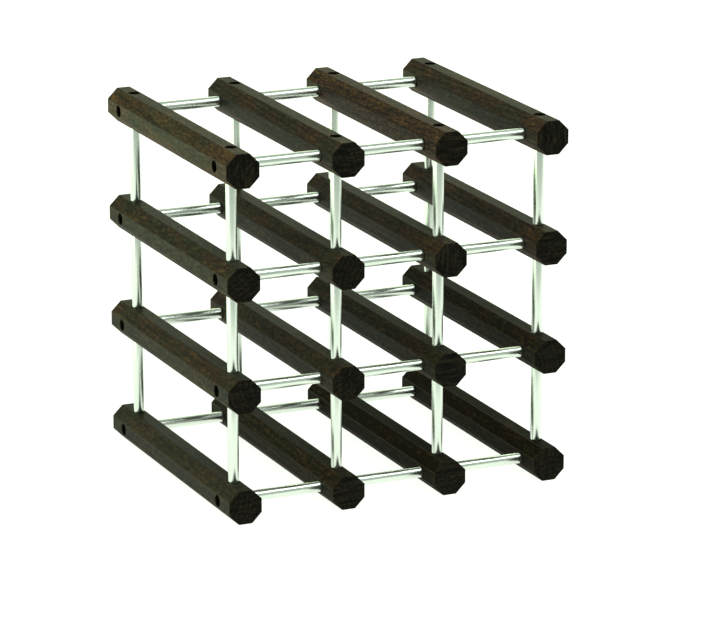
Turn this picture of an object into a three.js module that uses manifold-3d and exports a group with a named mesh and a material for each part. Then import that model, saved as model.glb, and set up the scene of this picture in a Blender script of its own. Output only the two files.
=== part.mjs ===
// A plug-together wine rack. Octagonal beech bars run from front to back in a square grid, four across and
// four up, and short polished aluminium rods plug into sockets near the ends of the bars: uprights between
// the rows and crossbars between the columns. A bottle lies on a front and a back crossbar, between two bars.
//
// Millimetres, +Z up, the front of the rack towards -Y. The origin is at the middle of the footprint, on the
// surface that the lowest bars stand on.

import * as THREE from "three";
import { mergeVertices } from "three/addons/utils/BufferGeometryUtils.js";
import Module from "manifold-3d";

// ---- Driving dimensions -------------------------------------------------------------------------------

const COLUMNS = 4; // bars side by side
const ROWS = 4; // bars above one another

const BAR_WIDTH = 32; // across two opposite flats
const BAR_LENGTH = 290; // front to back
const BAY_WIDTH = 70; // clear space between bars side by side
const BAY_HEIGHT = 72; // clear space between bars above one another

const ROD_DIAMETER = 10;
const ROD_CHAMFER = 0.6; // broken edge at each end of a rod

const SOCKET_INSET = 28; // from a bar's end to the axis of its sockets
const SOCKET_CLEARANCE = 0.2; // round a rod in its socket
const SOCKET_END_GAP = 0.5; // between a rod's end and the floor of its socket
const SOCKET_LAND = 1.2; // flat left on each side of a socket
const CORE_WALL = 1.3; // wood between a socket's floor and the line of the rods that cross it

const ROUND_SIDES = 12; // sides of each rod and socket
const OVERRUN = 2; // how far a drill starts outside the wood

const BEECH_COLOUR = 0x3a2c20;
const ALUMINIUM_COLOUR = 0xd9dcdc;

// ---- Sizes that follow ----------------------------------------------------------------------------------

const socketDiameter = ROD_DIAMETER + 2 * SOCKET_CLEARANCE;
const socketDepth = BAR_WIDTH / 2 - socketDiameter / 2 - CORE_WALL;
const rodSeat = socketDepth - SOCKET_END_GAP;
const flatWidth = socketDiameter + 2 * SOCKET_LAND;

const columnPitch = BAR_WIDTH + BAY_WIDTH;
const rowPitch = BAR_WIDTH + BAY_HEIGHT;
const socketLine = BAR_LENGTH / 2 - SOCKET_INSET; // from the middle of a bar to the axis of its sockets

const ENDS = [
  { name: "front", y: -socketLine },
  { name: "back", y: socketLine },
];

// Column 1 is at the left and row 1 at the bottom, for someone who stands in front of the rack.
const columnX = (column) => (column - (COLUMNS + 1) / 2) * columnPitch;
const rowZ = (row) => BAR_WIDTH / 2 + (row - 1) * rowPitch;
const countTo = (last) => Array.from({ length: last }, (_, index) => index + 1);

// The back crossbars of the lowest and the highest row are joined end to end, as one long rod through the
// inner bars. The bars at the sides only hold its ends.
const hasLongRod = (row, end) => end.name === "back" && (row === 1 || row === ROWS);
const isInner = (column) => column > 1 && column < COLUMNS;

// ---- Materials --------------------------------------------------------------------------------------------

const stainedBeech = () =>
  new THREE.MeshStandardMaterial({ color: BEECH_COLOUR, roughness: 0.5, metalness: 0 });

const polishedAluminium = () =>
  new THREE.MeshStandardMaterial({ color: ALUMINIUM_COLOUR, roughness: 0.12, metalness: 1 });

// ---- Joining and cutting ------------------------------------------------------------------------------------

const wasm = await Module();
wasm.setup();

// A closed three.js geometry as a solid that can be cut.
function solidOf(geometry) {
  const bare = geometry.clone();
  bare.deleteAttribute("normal");
  bare.deleteAttribute("uv");
  const merged = mergeVertices(bare, 1e-4);
  return new wasm.Manifold(
    new wasm.Mesh({
      numProp: 3,
      vertProperties: merged.attributes.position.array,
      triVerts: new Uint32Array(merged.index.array),
    }),
  );
}

// A solid as a three.js geometry.
function geometryOf(solid) {
  const mesh = solid.getMesh();
  const geometry = new THREE.BufferGeometry();
  geometry.setAttribute("position", new THREE.BufferAttribute(mesh.vertProperties, 3));
  geometry.setIndex(new THREE.BufferAttribute(mesh.triVerts, 1));
  geometry.computeVertexNormals();
  return geometry;
}

// ---- Bars ---------------------------------------------------------------------------------------------------

// An octagonal bar along Y with its middle at the origin, before it is drilled.
function blankBar() {
  const half = BAR_WIDTH / 2;
  const flat = flatWidth / 2;
  const outline = new THREE.Shape();
  outline.moveTo(flat, -half);
  outline.lineTo(half, -flat);
  outline.lineTo(half, flat);
  outline.lineTo(flat, half);
  outline.lineTo(-flat, half);
  outline.lineTo(-half, flat);
  outline.lineTo(-half, -flat);
  outline.lineTo(-flat, -half);
  outline.closePath();
  return new THREE.ExtrudeGeometry(outline, { depth: BAR_LENGTH, bevelEnabled: false })
    .translate(0, 0, -BAR_LENGTH / 2)
    .rotateX(Math.PI / 2);
}

// A drill's path along Y, from the middle of a bar outwards: from one distance to another.
function drillPath(from, to) {
  const radius = socketDiameter / 2;
  const length = to - from;
  return new THREE.CylinderGeometry(radius, radius, length, ROUND_SIDES).translate(0, from + length / 2, 0);
}

// Turns a shape that points along +Y to each side of a bar that has a flat for sockets.
const SIDES = {
  top: (shape) => shape.rotateX(Math.PI / 2),
  underside: (shape) => shape.rotateX(-Math.PI / 2),
  left: (shape) => shape.rotateZ(Math.PI / 2),
  right: (shape) => shape.rotateZ(-Math.PI / 2),
};

// A bar with a blind socket in each of its four flats at both ends. throughEnds names the ends where the
// left and right sockets meet in one hole, for a long rod.
function drilledBar(throughEnds) {
  let bar = solidOf(blankBar());
  const outside = BAR_WIDTH / 2 + OVERRUN;
  for (const end of ENDS) {
    for (const turn of Object.values(SIDES)) {
      const socket = turn(drillPath(BAR_WIDTH / 2 - socketDepth, outside)).translate(0, end.y, 0);
      bar = bar.subtract(solidOf(socket));
    }
    if (throughEnds.includes(end.name)) {
      const hole = SIDES.left(drillPath(-outside, outside)).translate(0, end.y, 0);
      bar = bar.subtract(solidOf(hole));
    }
  }
  return geometryOf(bar);
}

function makeBars() {
  const bars = new THREE.Group();
  for (const row of countTo(ROWS)) {
    const throughEnds = ENDS.filter((end) => hasLongRod(row, end)).map((end) => end.name);
    for (const column of countTo(COLUMNS)) {
      const bar = new THREE.Mesh(drilledBar(isInner(column) ? throughEnds : []), stainedBeech());
      bar.name = `bar_row${row}_column${column}`;
      bar.position.set(columnX(column), 0, rowZ(row));
      bars.add(bar);
    }
  }
  return bars;
}

// ---- Rods ---------------------------------------------------------------------------------------------------

// A round rod along Y with its middle at the origin and a chamfer at each end.
function rod(length) {
  const radius = ROD_DIAMETER / 2;
  const half = length / 2;
  const profile = [
    new THREE.Vector2(0, -half),
    new THREE.Vector2(radius - ROD_CHAMFER, -half),
    new THREE.Vector2(radius, -half + ROD_CHAMFER),
    new THREE.Vector2(radius, half - ROD_CHAMFER),
    new THREE.Vector2(radius - ROD_CHAMFER, half),
    new THREE.Vector2(0, half),
  ];
  return new THREE.LatheGeometry(profile, ROUND_SIDES);
}

// Uprights stand in the top sockets of one row and the underside sockets of the row above.
function makeUprights() {
  const uprights = new THREE.Group();
  for (const end of ENDS) {
    for (const column of countTo(COLUMNS)) {
      for (const row of countTo(ROWS - 1)) {
        const upright = new THREE.Mesh(rod(BAY_HEIGHT + 2 * rodSeat), polishedAluminium());
        upright.name = `upright_${end.name}_column${column}_row${row}to${row + 1}`;
        upright.position.set(columnX(column), end.y, rowZ(row) + rowPitch / 2);
        upright.rotation.x = Math.PI / 2;
        uprights.add(upright);
      }
    }
  }
  return uprights;
}

// A crossbar from one column to another in a row.
function makeCrossbar(end, row, fromColumn, toColumn) {
  const clear = columnX(toColumn) - columnX(fromColumn) - BAR_WIDTH;
  const crossbar = new THREE.Mesh(rod(clear + 2 * rodSeat), polishedAluminium());
  crossbar.name = `crossbar_${end.name}_row${row}_column${fromColumn}to${toColumn}`;
  crossbar.position.set((columnX(fromColumn) + columnX(toColumn)) / 2, end.y, rowZ(row));
  crossbar.rotation.z = Math.PI / 2;
  return crossbar;
}

function makeCrossbars() {
  const crossbars = new THREE.Group();
  for (const end of ENDS) {
    for (const row of countTo(ROWS)) {
      if (hasLongRod(row, end)) {
        crossbars.add(makeCrossbar(end, row, 1, COLUMNS));
        continue;
      }
      for (const column of countTo(COLUMNS - 1)) crossbars.add(makeCrossbar(end, row, column, column + 1));
    }
  }
  return crossbars;
}

const rack = new THREE.Group();
rack.add(makeBars(), makeUprights(), makeCrossbars());

export default rack;
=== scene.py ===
"""The looks of a plug-together wine rack: octagonal bars of dark-stained beech and polished aluminium rods.

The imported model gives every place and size. Each bar and each rod that is made here stands in the space of
its CAD node, in metres, with +Z up and the front of the rack towards -Y.
"""

import logging
import math
import random
from dataclasses import dataclass, field
from enum import Enum

import bmesh
import bpy
from mathutils import Euler, Matrix, Vector


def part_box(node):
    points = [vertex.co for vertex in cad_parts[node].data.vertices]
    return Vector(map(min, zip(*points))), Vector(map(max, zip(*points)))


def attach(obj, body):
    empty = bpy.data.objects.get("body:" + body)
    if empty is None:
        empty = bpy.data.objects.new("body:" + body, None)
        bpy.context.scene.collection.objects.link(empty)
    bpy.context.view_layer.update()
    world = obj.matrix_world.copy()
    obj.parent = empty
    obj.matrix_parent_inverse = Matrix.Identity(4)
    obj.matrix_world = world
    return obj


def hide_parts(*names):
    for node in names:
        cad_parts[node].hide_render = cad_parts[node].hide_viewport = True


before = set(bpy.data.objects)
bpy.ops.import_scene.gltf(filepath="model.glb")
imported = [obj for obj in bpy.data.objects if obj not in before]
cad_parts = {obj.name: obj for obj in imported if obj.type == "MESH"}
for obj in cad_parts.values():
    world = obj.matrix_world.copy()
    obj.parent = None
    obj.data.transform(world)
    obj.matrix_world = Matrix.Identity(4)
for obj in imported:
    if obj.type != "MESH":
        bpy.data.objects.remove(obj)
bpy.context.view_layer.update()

LOG = logging.getLogger("wine_rack")
MM = 0.001
PER_MM = 1.0 / MM
WELD = 0.001 * MM  # points closer together than this are one point
BODY = "root"


# ---- Small helpers --------------------------------------------------------------------------------------


def linear(colour: str) -> tuple[float, float, float, float]:
    """Turns an sRGB hex colour into the linear colour that a shader takes.

    Args:
        colour: Six hex digits after a #.

    Returns:
        Red, green, blue and an alpha of 1.
    """
    shares = [int(colour[i : i + 2], 16) / 255 for i in (1, 3, 5)]
    bent = [s / 12.92 if s <= 0.04045 else ((s + 0.055) / 1.055) ** 2.4 for s in shares]
    return (*bent, 1.0)


def add_node(tree: bpy.types.NodeTree, kind: str, inputs: dict[str | int, object] | None = None,
             stops: dict[float, str] | None = None, **settings: object) -> bpy.types.Node:
    """Adds a node to a tree, with its settings and its links.

    Args:
        tree: The node tree to add to.
        kind: The node's type, without the word ShaderNode.
        inputs: For each input socket, by name or number, a value or the output socket that it is linked to.
        stops: For a colour ramp, the sRGB hex colour at each place from 0 to 1, in order.
        settings: Values for the node's own properties.

    Returns:
        The new node.
    """
    node = tree.nodes.new("ShaderNode" + kind)
    for name, value in settings.items():
        setattr(node, name, value)
    for name, value in (inputs or {}).items():
        if isinstance(value, bpy.types.NodeSocket):
            tree.links.new(value, node.inputs[name])
        else:
            node.inputs[name].default_value = value
    for number, (place, colour) in enumerate((stops or {}).items()):
        elements = node.color_ramp.elements
        element = elements[number] if number < len(elements) else elements.new(place)
        element.position = place
        element.color = linear(colour)
    return node


def new_material(name: str) -> tuple[bpy.types.Material, bpy.types.NodeTree]:
    """Makes a material with an empty node tree.

    Args:
        name: The material's name.

    Returns:
        The material and its node tree.
    """
    material = bpy.data.materials.new(name)
    material.use_nodes = True
    material.node_tree.nodes.clear()
    return material, material.node_tree


def make_piece(name: str, bm: bmesh.types.BMesh, materials: list[bpy.types.Material], sharp_degrees: float,
               stands_for: str) -> bpy.types.Object:
    """Turns a bmesh into a finished piece of the rack.

    Args:
        name: The piece's name.
        bm: Its shape, already in its place in the rack. It is freed.
        materials: Its materials, in the order of its faces' material numbers.
        sharp_degrees: The angle from which an edge shows as an edge.
        stands_for: The CAD node that it replaces.

    Returns:
        The new object, which rides on the rack's body.
    """
    bmesh.ops.remove_doubles(bm, verts=bm.verts, dist=WELD)
    bmesh.ops.recalc_face_normals(bm, faces=bm.faces)
    mesh = bpy.data.meshes.new(name)
    bm.to_mesh(mesh)
    bm.free()
    mesh.shade_smooth()
    mesh.set_sharp_from_angle(angle=math.radians(sharp_degrees))
    for material in materials:
        mesh.materials.append(material)
    piece = bpy.data.objects.new(name, mesh)
    bpy.context.scene.collection.objects.link(piece)
    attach(piece, BODY)
    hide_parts(stands_for)
    LOG.info("%s: %d faces, for %s", name, len(mesh.polygons), stands_for)
    return piece


# ---- Finishes -------------------------------------------------------------------------------------------


class SawMarks(Enum):
    """The way that a blade's marks run over a bar's end, as the scale of their pattern along X, Y and Z."""

    LEVEL = (0.14, 1.0, 1.0)
    UPRIGHT = (1.0, 1.0, 0.14)


@dataclass(frozen=True)
class Tone:
    """How one bar took the stain and the lacquer.

    The warmth runs from 0, olive, to 1, brown. The figure is how clearly the ray flecks show. The depth
    moves the colours towards their darkest stop, and the sheen is the share of the usual lacquer. For some
    bars the depth and the sheen carry painted light and painted shade.
    """

    warmth: float
    figure: float
    depth: float
    sheen: float = 1.0


@dataclass(frozen=True)
class Plank:
    """How one bar was cut from the plank and finished, which no two share."""

    centre: Vector
    turn: float
    slope: float
    pith: Vector
    tone: Tone
    marks: SawMarks
    mark_depth: float


@dataclass(frozen=True)
class StainedBeech:
    """Steamed beech, planed, stained nearly black-brown and sealed with a thin satin lacquer.

    The stain stays thin on the hard late wood and on the rays, so the grain shows as soft streaks along the
    bar and rows of short flecks, warm brown on olive. It went on unevenly, which leaves a mottle and larger
    clouds. The lacquer gives the flats a soft grey-green sheen, and their colour is painted more olive and
    the slanted faces' warmer, as painted sheen.

    Real ray flecks are 0.3 mm wide and real pores 0.1 mm. The flecks are drawn five times as coarse and the
    pores as fibres 1.4 mm wide, because finer ones blur away when the whole rack is in view.
    """

    ring_mm: float = 5.0
    fibre_mm: float = 1.4
    streak_mm: float = 4.5
    fleck_mm: float = 1.5
    mottle_mm: float = 3.0
    cloud_mm: float = 24.0
    drawn_out: float = 0.06
    dashed: float = 0.2
    blotched: float = 0.5
    mottle_share: float = 0.65
    fleck_share: float = 0.45
    painted_sheen_flat_warmth: float = -0.3
    painted_sheen_slant_warmth: float = 0.15
    patch_warmth: float = 0.4
    saw_mark_mm: float = 2.0
    end_stain_mm: float = 10.0
    lacquer: float = 0.26
    lacquer_roughness: float = 0.42

    def grain_space(self, tree: bpy.types.NodeTree, plank: Plank, stretch: float) -> bpy.types.NodeSocket:
        """Adds coordinates in millimetres round the pith of a bar's tree.

        Args:
            tree: The material's node tree.
            plank: How the bar was cut.
            stretch: The scale along the grain, below 1 to draw a pattern out along it.

        Returns:
            The coordinates' output.
        """
        turned = Euler((plank.slope, plank.turn, 0.0))
        mapping = add_node(tree, "Mapping", {
            "Vector": add_node(tree, "TexCoord").outputs["Object"],
            "Location": plank.centre - turned.to_matrix() @ (plank.pith * MM),
            "Rotation": turned,
            "Scale": (MM, MM / stretch, MM),
        }, vector_type="TEXTURE")
        return mapping.outputs["Vector"]

    def long_grain(self, name: str, plank: Plank) -> bpy.types.Material:
        """Makes the finish of a bar's eight long faces.

        Args:
            name: The material's name.
            plank: How the bar was cut.

        Returns:
            The material.
        """
        material, tree = new_material(name)
        drawn = self.grain_space(tree, plank, self.drawn_out)
        dashed = self.grain_space(tree, plank, self.dashed)
        blotched = self.grain_space(tree, plank, self.blotched)
        rings = add_node(tree, "TexWave", {
            "Vector": drawn, "Scale": math.pi / (10 * self.ring_mm), "Distortion": 5.0,
            "Detail": 2.0, "Detail Scale": 0.4, "Detail Roughness": 0.5,
        }, wave_type="RINGS", rings_direction="Y", wave_profile="SIN").outputs["Fac"]
        streaks = add_node(tree, "TexNoise", {
            "Vector": drawn, "Scale": 1 / self.streak_mm, "Detail": 2.0,
        }).outputs["Fac"]
        fibres = add_node(tree, "TexNoise", {
            "Vector": drawn, "Scale": 1 / self.fibre_mm, "Detail": 1.0,
        }).outputs["Fac"]
        mottle = add_node(tree, "TexNoise", {
            "Vector": blotched, "Scale": 1 / self.mottle_mm, "Detail": 3.0,
        }).outputs["Fac"]
        clouds = add_node(tree, "TexNoise", {
            "Vector": blotched, "Scale": 1 / self.cloud_mm, "Detail": 2.0,
        }).outputs["Fac"]
        flecks = add_node(tree, "TexVoronoi", {
            "Vector": dashed, "Scale": 1 / self.fleck_mm, "Randomness": 0.85,
        }).outputs["Distance"]

        # The more a bar's flecks show, the less of the mottle is left.
        bands = add_node(tree, "Mix", {"Factor": 0.22, 2: streaks, 3: rings}).outputs[0]
        lines = add_node(tree, "Mix", {"Factor": 0.4, 2: bands, 3: fibres}).outputs[0]
        shown = self.fleck_share * plank.tone.figure
        uneven = self.mottle_share - shown
        plain = add_node(tree, "Mix", {"Factor": uneven, 2: lines, 3: mottle}).outputs[0]
        rays = add_node(tree, "Math", {0: 1.0, 1: flecks}, operation="SUBTRACT").outputs[0]
        tone = add_node(tree, "Mix", {"Factor": shown, 2: plain, 3: rays}).outputs[0]
        # The depth darkens the colours. On the top row it is painted light, on the lower right bars painted
        # shade; elsewhere it is the stain's tone.
        stain = add_node(tree, "Math", {0: tone, 1: plank.tone.depth}, operation="SUBTRACT").outputs[0]
        olive = add_node(tree, "ValToRGB", {"Fac": stain}, {
            0.34: "#141309", 0.50: "#2b2a17", 0.64: "#414028",
        }).outputs["Color"]
        brown = add_node(tree, "ValToRGB", {"Fac": stain}, {
            0.34: "#190f06", 0.50: "#3e2a17", 0.64: "#624726",
        }).outputs["Color"]

        # Painted sheen: by the way each face points, the flats are painted more olive and the slanted faces
        # warmer, for the grey-green sheen that the flats reflect and the slanted faces don't.
        facing = add_node(tree, "VectorMath", {
            0: add_node(tree, "TexCoord").outputs["Normal"],
        }, operation="ABSOLUTE")
        slant = add_node(tree, "VectorMath", {
            0: facing.outputs["Vector"], 1: (1.0, 0.0, 1.0),
        }, operation="DOT_PRODUCT")
        warmth = add_node(tree, "MapRange", {
            "Value": slant.outputs["Value"], "From Min": 1.0, "From Max": math.sqrt(2.0),
            "To Min": plank.tone.warmth + self.painted_sheen_flat_warmth,
            "To Max": plank.tone.warmth + self.painted_sheen_slant_warmth,
        }).outputs["Result"]
        patches = add_node(tree, "MapRange", {
            "Value": add_node(tree, "Mix", {"Factor": 0.2, 2: clouds, 3: lines}).outputs[0],
            "From Min": 0.4, "From Max": 0.6, "To Min": -self.patch_warmth, "To Max": self.patch_warmth,
        }).outputs["Result"]
        share = add_node(tree, "Math", {0: warmth, 1: patches}, operation="ADD", use_clamp=True).outputs[0]
        colour = add_node(tree, "Mix", {"Factor": share, 6: olive, 7: brown}, data_type="RGBA").outputs[2]

        rough = add_node(tree, "MapRange", {
            "Value": mottle, "From Min": 0.35, "From Max": 0.65, "To Min": 0.6, "To Max": 0.8,
        }).outputs["Result"]
        relief = add_node(tree, "Mix", {"Factor": 0.5, 2: fibres, 3: flecks}).outputs[0]
        bump = add_node(tree, "Bump", {
            "Height": relief, "Strength": 0.4, "Distance": 0.15 * MM,
        }).outputs["Normal"]
        shader = add_node(tree, "BsdfPrincipled", {
            "Base Color": colour, "Roughness": rough, "IOR": 1.5, "Specular IOR Level": 0.0, "Normal": bump,
            # The sheen scales the lacquer; its lower share on the lower right bars is painted shade.
            "Coat Weight": self.lacquer * plank.tone.sheen, "Coat Roughness": self.lacquer_roughness,
            "Coat Normal": bump,
        })
        add_node(tree, "OutputMaterial", {"Surface": shader.outputs["BSDF"]})
        return material

    def end_grain(self, name: str, plank: Plank) -> bpy.types.Material:
        """Makes the finish of a bar's sawn ends, whose open pores drank the stain and are nearly black.

        Args:
            name: The material's name.
            plank: How the bar was cut.

        Returns:
            The material.
        """
        material, tree = new_material(name)
        space = self.grain_space(tree, plank, 1.0)
        rings = add_node(tree, "TexWave", {
            "Vector": space, "Scale": math.pi / (10 * self.ring_mm), "Distortion": 2.0, "Detail Scale": 0.3,
        }, wave_type="RINGS", rings_direction="Y", wave_profile="SAW").outputs["Fac"]
        pores = add_node(tree, "TexNoise", {
            "Vector": space, "Scale": 1 / self.fibre_mm, "Detail": 2.0,
        }).outputs["Fac"]
        stains = add_node(tree, "TexNoise", {
            "Vector": space, "Scale": 1 / self.end_stain_mm, "Detail": 2.0,
        }).outputs["Fac"]
        across = add_node(tree, "Mapping", {
            "Vector": add_node(tree, "TexCoord").outputs["Object"],
            "Scale": PER_MM * Vector(plank.marks.value),
        }).outputs["Vector"]
        marks = add_node(tree, "TexNoise", {
            "Vector": across, "Scale": 1 / self.saw_mark_mm, "Detail": 1.0,
        }).outputs["Fac"]
        grain = add_node(tree, "Mix", {"Factor": 0.85, 2: rings, 3: pores}).outputs[0]
        tone = add_node(tree, "Mix", {"Factor": plank.mark_depth, 2: grain, 3: marks}).outputs[0]
        black = add_node(tree, "ValToRGB", {"Fac": tone}, {
            0.35: "#060604", 0.5: "#11110d", 0.65: "#242119",
        }).outputs["Color"]
        brown = add_node(tree, "ValToRGB", {"Fac": tone}, {
            0.35: "#080705", 0.5: "#16120c", 0.65: "#2c2418",
        }).outputs["Color"]
        patches = add_node(tree, "MapRange", {
            "Value": stains, "From Min": 0.4, "From Max": 0.65,
            "To Min": 0.0, "To Max": plank.tone.warmth + 0.3,
        }).outputs["Result"]
        colour = add_node(tree, "Mix", {"Factor": patches, 6: black, 7: brown}, data_type="RGBA").outputs[2]
        bump = add_node(tree, "Bump", {
            "Height": tone, "Strength": 0.6, "Distance": 0.25 * MM,
        }).outputs["Normal"]
        shader = add_node(tree, "BsdfPrincipled", {
            "Base Color": colour, "Roughness": 0.8, "IOR": 1.5, "Specular IOR Level": 0.05, "Normal": bump,
        })
        add_node(tree, "OutputMaterial", {"Surface": shader.outputs["BSDF"]})
        return material

    def plain(self, name: str, colours: dict[float, str], roughness: float) -> bpy.types.Material:
        """Makes a finish for a narrow part of a bar: an arris, lighter for stain rubbed thin and as a
        painted highlight, or the wall of a bored socket.

        Args:
            name: The material's name.
            colours: The stops of its colours, which a fine noise runs along.
            roughness: The shader's roughness.

        Returns:
            The material.
        """
        material, tree = new_material(name)
        speck = add_node(tree, "TexNoise", {
            "Vector": add_node(tree, "TexCoord").outputs["Object"],
            "Scale": PER_MM / self.fleck_mm, "Detail": 2.0,
        }).outputs["Fac"]
        bump = add_node(tree, "Bump", {
            "Height": speck, "Strength": 0.2, "Distance": 0.1 * MM,
        }).outputs["Normal"]
        shader = add_node(tree, "BsdfPrincipled", {
            "Base Color": add_node(tree, "ValToRGB", {"Fac": speck}, colours).outputs["Color"],
            "Roughness": roughness, "IOR": 1.5, "Specular IOR Level": 0.05, "Normal": bump,
        })
        add_node(tree, "OutputMaterial", {"Surface": shader.outputs["BSDF"]})
        return material


@dataclass(frozen=True)
class PolishedAluminium:
    """Drawn aluminium rod, polished on a wheel and clear anodised.

    It mirrors the room as long bands with soft edges. The drawing left hair-fine lines along it, which
    streak the bands a little. Real lines are about 0.05 mm apart. They are drawn seven times as coarse,
    because finer ones blur away when the whole rack is in view.
    """

    colour: str = "#e5ebe1"
    dull_colour: str = "#d7e0d5"
    line_mm: float = 0.35
    line_stretch: float = 0.005
    roughness: float = 0.25

    def material(self, name: str, along: Vector) -> bpy.types.Material:
        """Makes the finish of rods that lie one way.

        Args:
            name: The material's name.
            along: The rods' direction.

        Returns:
            The material.
        """
        material, tree = new_material(name)
        space = add_node(tree, "Mapping", {
            "Vector": add_node(tree, "TexCoord").outputs["Object"],
            "Scale": Vector([PER_MM * (self.line_stretch if share else 1.0) for share in along]),
        }).outputs["Vector"]
        lines = add_node(tree, "TexNoise", {
            "Vector": space, "Scale": 1 / self.line_mm, "Detail": 2.0,
        }).outputs["Fac"]
        rough = add_node(tree, "MapRange", {
            "Value": lines, "From Min": 0.3, "From Max": 0.7,
            "To Min": self.roughness * 0.9, "To Max": self.roughness * 1.1,
        }).outputs["Result"]
        colour = add_node(tree, "ValToRGB", {"Fac": lines}, {
            0.3: self.dull_colour, 0.6: self.colour,
        }).outputs["Color"]
        bump = add_node(tree, "Bump", {
            "Height": lines, "Strength": 0.02, "Distance": 0.01 * MM,
        }).outputs["Normal"]
        shader = add_node(tree, "BsdfPrincipled", {
            "Base Color": colour, "Metallic": 1.0, "Roughness": rough, "Normal": bump,
        })
        add_node(tree, "OutputMaterial", {"Surface": shader.outputs["BSDF"]})
        return material


# ---- Bars -----------------------------------------------------------------------------------------------


class Face(Enum):
    """The material numbers of a bar's faces."""

    LONG = 0
    END = 1
    ARRIS = 2
    SOCKET = 3


@dataclass
class Bars:
    """The octagonal bars, each with a socket in each of its four flats at both ends.

    Each bar's cut, tone and saw marks are drawn between the ends of their usual ranges. The odd tones are
    those of the bars that stand out from the rest, by row and column. Among them, the top row's shallow
    depth is painted light from above, and the deep depth and low sheen of the bars on the lower right are
    painted shade.
    """

    rows: int = 4
    columns: int = 4
    chamfer: float = 9.6 * MM
    arris: float = 0.45 * MM
    socket_clearance: float = 0.2 * MM
    socket_depth: float = 9.5 * MM
    socket_inset: float = 0.1 * MM
    countersink: float = 0.45 * MM
    drill_point: float = 0.6 * MM
    drill_tip: float = 0.02
    sides_per_flat: int = 8
    sharp_degrees: float = 12.0
    slot: str = "stained_beech"
    finish: StainedBeech = field(default_factory=StainedBeech)
    warmths: tuple[float, float] = (0.35, 0.65)
    figures: tuple[float, float] = (0.2, 0.5)
    depths: tuple[float, float] = (0.05, 0.1)
    mark_depths: tuple[float, float] = (0.25, 0.6)
    pith_mm: tuple[float, float] = (14.0, 45.0)
    trunk_mm: float = 500.0
    slope_degrees: float = 3.0
    odd_tones_and_painted_light: dict[tuple[int, int], Tone] = field(default_factory=lambda: {
        # Row 4's depth is shallower than the usual range: painted light, for the light from above on the top
        # row.
        (4, 1): Tone(0.6, 0.35, -0.02),
        (4, 2): Tone(0.4, 0.3, 0.02),
        (4, 3): Tone(0.95, 0.85, 0.01),
        (4, 4): Tone(0.5, 0.4, 0.01),
        (3, 1): Tone(0.2, 0.15, 0.03),
        # These bars get a deeper depth and less sheen: painted shade on the lower right of the rack.
        (2, 3): Tone(0.4, 0.3, 0.1, 0.8),
        (2, 4): Tone(0.3, 0.3, 0.12, 0.6),
        (1, 2): Tone(0.5, 0.3, 0.1, 0.6),
        (1, 3): Tone(0.35, 0.2, 0.16, 0.4),
        (1, 4): Tone(0.35, 0.2, 0.16, 0.4),
    })
    cross_grained: dict[tuple[int, int], float] = field(default_factory=lambda: {(3, 1): math.radians(17)})
    seed: int = 11

    def __post_init__(self) -> None:
        """Reads the sockets' places from a rod, and seeds the draws."""
        low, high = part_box("upright_front_column1_row1to2")
        self.rod_radius = (high.x - low.x) / 2
        self.socket_line = -(low.y + high.y) / 2
        self.random = random.Random(self.seed)

    def plank(self, row: int, column: int, centre: Vector) -> Plank:
        """Chooses how a bar was cut.

        Args:
            row: The bar's row, from 1 at the bottom.
            column: The bar's column, from 1 at the left.
            centre: The bar's middle.

        Returns:
            The cut.
        """
        pick = self.random
        usual = Tone(pick.uniform(*self.warmths), pick.uniform(*self.figures), pick.uniform(*self.depths))
        away = pick.uniform(*self.pith_mm)
        side = pick.uniform(0.0, math.tau)
        turn = pick.uniform(0.0, math.tau)
        slope = math.radians(pick.uniform(-self.slope_degrees, self.slope_degrees))
        return Plank(
            centre=centre,
            turn=turn,
            slope=self.cross_grained.get((row, column), slope),
            pith=Vector((away * math.cos(side), pick.uniform(0.0, self.trunk_mm), away * math.sin(side))),
            tone=self.odd_tones_and_painted_light.get((row, column), usual),
            marks=pick.choice(list(SawMarks)),
            mark_depth=pick.uniform(*self.mark_depths),
        )

    def blank(self, size: Vector) -> bmesh.types.BMesh:
        """Planes a square bar to eight sides and eases its arrises.

        Args:
            size: The bar's width, length and height.

        Returns:
            The bar, with its middle at the origin.
        """
        bm = bmesh.new()
        bmesh.ops.create_cube(bm, size=1.0)
        bmesh.ops.scale(bm, vec=size, verts=bm.verts)
        long_edges = [e for e in bm.edges if abs(e.verts[0].co.y - e.verts[1].co.y) > size.y / 2]
        bmesh.ops.bevel(bm, geom=long_edges, offset=self.chamfer, offset_type="OFFSET", affect="EDGES",
                        segments=1, profile=0.5, material=-1)
        for face in bm.faces:
            face.material_index = Face.END.value if abs(face.normal.y) > 0.5 else Face.LONG.value
        bmesh.ops.bevel(bm, geom=list(bm.edges), offset=self.arris, offset_type="OFFSET", affect="EDGES",
                        segments=2, profile=0.5, material=Face.ARRIS.value)
        return bm

    def socket_square(self, bm: bmesh.types.BMesh, size: Vector, side: float,
                      line: float) -> bmesh.types.BMFace:
        """Divides a flat, so that one socket gets a square face of its own.

        Args:
            bm: The bar.
            size: The bar's width, length and height.
            side: Where the flat is, as a turn round the bar from the top.
            line: Where the socket's axis is along the bar.

        Returns:
            The square face.
        """
        outward = Matrix.Rotation(side, 3, "Y") @ Vector((0.0, 0.0, 1.0))

        def on_flat(face: bmesh.types.BMFace) -> bool:
            """Says whether a face lies on the flat."""
            reach = face.calc_center_median().dot(outward)
            return face.normal.dot(outward) > 0.999 and reach > size.x / 2 - MM

        half = size.x / 2 - self.chamfer - self.arris
        for edge in (line - half, line + half):
            strip = [f for f in bm.faces if on_flat(f)]
            geometry = strip + list({e for f in strip for e in f.edges})
            bmesh.ops.bisect_plane(bm, geom=geometry, dist=WELD, plane_co=(0.0, edge, 0.0),
                                   plane_no=(0.0, 1.0, 0.0))
        return next(f for f in bm.faces if on_flat(f) and abs(f.calc_center_median().y - line) < 0.5 * MM)

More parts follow.
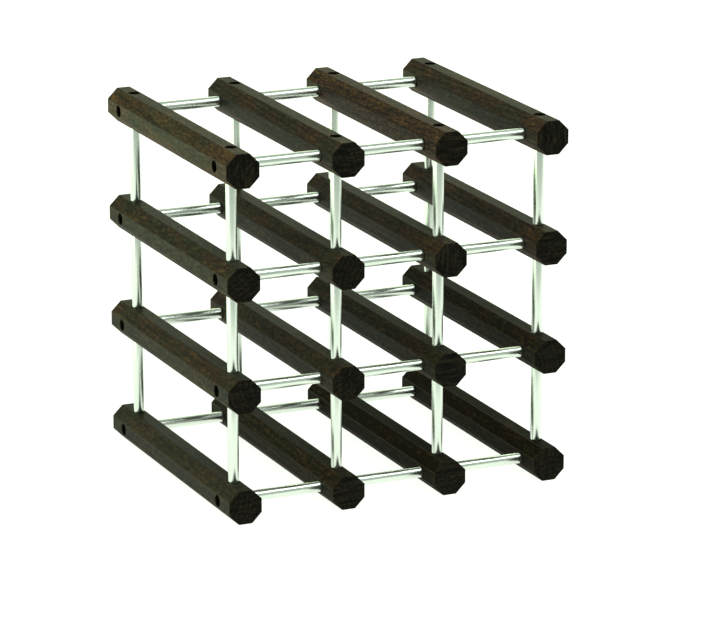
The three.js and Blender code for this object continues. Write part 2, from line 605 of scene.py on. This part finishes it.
    def bore(self, bm: bmesh.types.BMesh, square: bmesh.types.BMFace) -> None:
        """Bores a countersunk blind socket in the middle of a square face.

        Args:
            bm: The bar.
            square: The face.
        """
        axis = square.normal.copy()
        middle = square.calc_center_median()
        radius = self.rod_radius + self.socket_clearance
        bmesh.ops.subdivide_edges(bm, edges=list(square.edges), cuts=self.sides_per_flat - 1)
        bmesh.ops.inset_individual(bm, faces=[square], thickness=self.socket_inset)
        across = axis.cross(Vector((0.0, 1.0, 0.0)))
        step = math.tau / (4 * self.sides_per_flat)
        for vertex in square.verts:
            spoke = vertex.co - middle
            turn = round(math.atan2(spoke.y, spoke.dot(across)) / step) * step
            spot = across * math.cos(turn) + Vector((0.0, math.sin(turn), 0.0))
            vertex.co = middle + spot * (radius + self.countersink)
        floor = self.socket_depth - self.countersink
        for depth, width in (
            (self.countersink, radius / (radius + self.countersink)),
            (floor, 1.0),
            (self.drill_point, self.drill_tip),
        ):
            made = bmesh.ops.extrude_discrete_faces(bm, faces=[square])
            square = made["faces"][0]
            bmesh.ops.translate(bm, vec=-axis * depth, verts=square.verts)
            square_middle = square.calc_center_median()
            bmesh.ops.scale(bm, vec=Vector((width,) * 3), space=Matrix.Translation(-square_middle),
                            verts=square.verts)
            for face in {f for v in square.verts for f in v.link_faces}:
                if face.calc_center_median().dot(axis) < middle.dot(axis) - 0.01 * MM:
                    face.material_index = Face.SOCKET.value

    def build(self) -> list[bpy.types.Object]:
        """Builds and dresses every bar.

        Returns:
            The bars.
        """
        # The arris colours are lighter than the long faces: stain rubbed thin, and a painted highlight along
        # the edges.
        arris = self.finish.plain("stained_beech_rubbed_arris_and_painted_highlight", {0.35: "#1f1910", 0.65: "#382c1b"}, 0.5)
        socket = self.finish.plain("stained_beech_bored_socket", {0.35: "#0d0a07", 0.65: "#1c150e"}, 0.85)
        bars = []
        for row in range(1, self.rows + 1):
            for column in range(1, self.columns + 1):
                node = f"bar_row{row}_column{column}"
                low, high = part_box(node)
                size, centre = high - low, (low + high) / 2
                bm = self.blank(size)
                for side in range(4):
                    for line in (-self.socket_line, self.socket_line):
                        self.bore(bm, self.socket_square(bm, size, side * math.pi / 2, line))
                bmesh.ops.translate(bm, vec=centre, verts=bm.verts)
                plank = self.plank(row, column, centre)
                place = f"row{row}_column{column}"
                materials = [
                    self.finish.long_grain(f"stained_beech_long_grain_{place}", plank),
                    self.finish.end_grain(f"stained_beech_end_grain_{place}", plank),
                    arris,
                    socket,
                ]
                bar = make_piece(f"beech_bar_{place}", bm, materials, self.sharp_degrees, node)
                bars.append(bar)
        return bars


# ---- Rods -----------------------------------------------------------------------------------------------


@dataclass
class Rods:
    """The round rods that plug into the bars: uprights between rows and crossbars between columns."""

    rows: int = 4
    columns: int = 4
    sides: int = 48
    chamfer: float = 0.6 * MM
    sharp_degrees: float = 20.0
    slot: str = "polished_aluminium"
    finish: PolishedAluminium = field(default_factory=PolishedAluminium)

    def rod(self, low: Vector, high: Vector) -> bmesh.types.BMesh:
        """Turns one rod to fill a box, with a rounded edge at each end.

        Args:
            low: The box's lowest corner.
            high: Its highest corner.

        Returns:
            The rod.
        """
        size = high - low
        radius, length = size.y / 2, max(size)
        bm = bmesh.new()
        bmesh.ops.create_cone(bm, cap_ends=True, segments=self.sides, radius1=radius, radius2=radius,
                              depth=length)
        rims = [e for e in bm.edges if abs(e.verts[0].co.z - e.verts[1].co.z) < length / 2]
        bmesh.ops.bevel(bm, geom=rims, offset=self.chamfer, offset_type="OFFSET", affect="EDGES",
                        segments=3, profile=0.5, material=-1)
        if size.x > size.z:
            bmesh.ops.rotate(bm, matrix=Matrix.Rotation(math.pi / 2, 3, "Y"), verts=bm.verts)
        bmesh.ops.translate(bm, vec=(low + high) / 2, verts=bm.verts)
        return bm

    def build(self) -> list[bpy.types.Object]:
        """Builds and dresses every rod.

        Returns:
            The rods.
        """
        upright = self.finish.material("polished_aluminium_upright", Vector((0, 0, 1)))
        level = self.finish.material("polished_aluminium_crossbar", Vector((1, 0, 0)))
        rods = []
        for end in ("front", "back"):
            for column in range(1, self.columns + 1):
                for row in range(1, self.rows):
                    node = f"upright_{end}_column{column}_row{row}to{row + 1}"
                    rods.append(self.dress(node, self.rod(*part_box(node)), upright, node))
            for row in range(1, self.rows + 1):
                for column in range(1, self.columns):
                    rods.append(self.crossbar(end, row, column, level))
        return rods

    def crossbar(self, end: str, row: int, column: int, material: bpy.types.Material) -> bpy.types.Object:
        """Builds one crossbar, which may be a third of a CAD node that joins three in line.

        Args:
            end: front or back.
            row: Its row, from 1 at the bottom.
            column: The column that it starts from.
            material: Its finish.

        Returns:
            The rod.
        """
        name = f"crossbar_{end}_row{row}_column{column}to{column + 1}"
        joined = f"crossbar_{end}_row{row}_column1to{self.columns}"
        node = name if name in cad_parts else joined
        low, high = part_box(node)
        like_low, like_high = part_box(f"crossbar_front_row{row}_column{column}to{column + 1}")
        low.x, high.x = like_low.x, like_high.x
        return self.dress(name, self.rod(low, high), material, node)

    def dress(self, name: str, bm: bmesh.types.BMesh, material: bpy.types.Material,
              node: str) -> bpy.types.Object:
        """Makes a piece of a rod.

        Args:
            name: Where the rod is, in words.
            bm: Its shape.
            material: Its finish.
            node: The CAD node that it replaces.

        Returns:
            The rod.
        """
        return make_piece(f"aluminium_{name}", bm, [material], self.sharp_degrees, node)


# ---- Studio ---------------------------------------------------------------------------------------------


@dataclass(frozen=True)
class Softbox:
    """A soft light that faces the rack. Where its brightness is 1, its face is as bright as white paper."""

    name: str
    place: Vector
    width: float
    height: float
    brightness: float
    colour: str


@dataclass
class Studio:
    """The camera, a glowing pale floor that is darker in front, an evenly lit room and four soft lights."""

    azimuth: float = math.radians(-24.379)
    elevation: float = math.radians(15.979)
    distance: float = 3.8986
    target: Vector = field(default_factory=lambda: Vector((0.02585, 0.0, 0.1423)))
    lens_mm: float = 207.16
    sensor_mm: float = 36.0
    farthest: float = 60.0
    floor_radius: float = 9.0
    floor_sides: int = 96
    floor_colour: str = "#979a96"
    glow_colour: str = "#f9fff6"
    floor_glow: float = 1.0
    front_glow: float = 0.43
    glow_ends: tuple[float, float] = (-1.0, -0.55)
    room_colour: str = "#b3c1b6"
    room_strength: float = 1.0
    softboxes: tuple[Softbox, ...] = field(default_factory=lambda: (
        Softbox("front_light", Vector((0.5, -1.4, 2.4)), 3.0, 1.0, 3.4, "#fbfdff"),
        Softbox("back_light", Vector((1.4, 2.4, 1.3)), 2.4, 1.0, 1.8, "#f3ffd4"),
        Softbox("left_light", Vector((-2.2, -0.1, 0.3)), 1.4, 0.7, 5.2, "#d3ffc0"),
        Softbox("back_left_light", Vector((-1.1, 1.9, 0.25)), 1.4, 0.6, 3.2, "#e6ffb8"),
    ))

    def floor(self) -> None:
        """Lays the floor under the bars: matt white acrylic, lit from below and less so in front."""
        bm = bmesh.new()
        bmesh.ops.create_circle(bm, cap_ends=True, segments=self.floor_sides, radius=self.floor_radius)
        mesh = bpy.data.meshes.new("studio_floor")
        bm.to_mesh(mesh)
        bm.free()
        material, tree = new_material("matt_white_acrylic")
        place = add_node(tree, "SeparateXYZ", {"Vector": add_node(tree, "TexCoord").outputs["Object"]})
        glow = add_node(tree, "MapRange", {
            "Value": place.outputs["Y"], "From Min": self.glow_ends[0], "From Max": self.glow_ends[1],
            "To Min": self.front_glow, "To Max": self.floor_glow,
        }, interpolation_type="SMOOTHSTEP").outputs["Result"]
        shader = add_node(tree, "BsdfPrincipled", {
            "Base Color": linear(self.floor_colour), "Roughness": 0.9, "Specular IOR Level": 0.0,
            "Emission Color": linear(self.glow_colour), "Emission Strength": glow,
        })
        add_node(tree, "OutputMaterial", {"Surface": shader.outputs["BSDF"]})
        mesh.materials.append(material)
        floor = bpy.data.objects.new("studio_floor", mesh)
        bpy.context.scene.collection.objects.link(floor)

    def room(self) -> None:
        """Fills the room with an even, faintly green light."""
        world = bpy.data.worlds.new("room")
        world.use_nodes = True
        world.node_tree.nodes.clear()
        light = add_node(world.node_tree, "Background", {
            "Color": linear(self.room_colour), "Strength": self.room_strength,
        })
        add_node(world.node_tree, "OutputWorld", {"Surface": light.outputs["Background"]})
        bpy.context.scene.world = world

    def hang(self, box: Softbox) -> None:
        """Hangs a soft light that faces the rack.

        Args:
            box: The light.
        """
        light = bpy.data.lights.new(box.name, "AREA")
        light.shape = "RECTANGLE"
        light.size = box.width
        light.size_y = box.height
        light.energy = box.brightness * math.pi * box.width * box.height
        light.color = linear(box.colour)[:3]
        lamp = bpy.data.objects.new(box.name, light)
        lamp.location = box.place
        lamp.rotation_euler = (self.target - box.place).to_track_quat("-Z", "Y").to_euler()
        lamp.visible_camera = False
        bpy.context.scene.collection.objects.link(lamp)

    def camera(self) -> None:
        """Places the camera in front, to the left and above."""
        lens = bpy.data.cameras.new("camera")
        lens.lens = self.lens_mm
        lens.sensor_width = self.sensor_mm
        lens.clip_end = self.farthest
        eye = bpy.data.objects.new("camera", lens)
        back = Vector((
            math.sin(self.azimuth) * math.cos(self.elevation),
            -math.cos(self.azimuth) * math.cos(self.elevation),
            math.sin(self.elevation),
        ))
        eye.location = self.target + self.distance * back
        eye.rotation_euler = back.to_track_quat("Z", "Y").to_euler()
        bpy.context.scene.collection.objects.link(eye)
        bpy.context.scene.camera = eye

    def build(self) -> None:
        """Builds the whole studio."""
        self.camera()
        self.floor()
        self.room()
        for box in self.softboxes:
            self.hang(box)
        bpy.context.scene.view_settings.view_transform = "Standard"
        LOG.info("studio: camera, floor, room and %d lights", len(self.softboxes))


def main() -> None:
    """Builds the studio and the rack."""
    logging.basicConfig(level=logging.INFO, format="%(name)s: %(message)s")
    Studio().build()
    bars = Bars().build()
    rods = Rods().build()
    LOG.info("%d bars and %d rods", len(bars), len(rods))


if __name__ == "__main__":
    main()
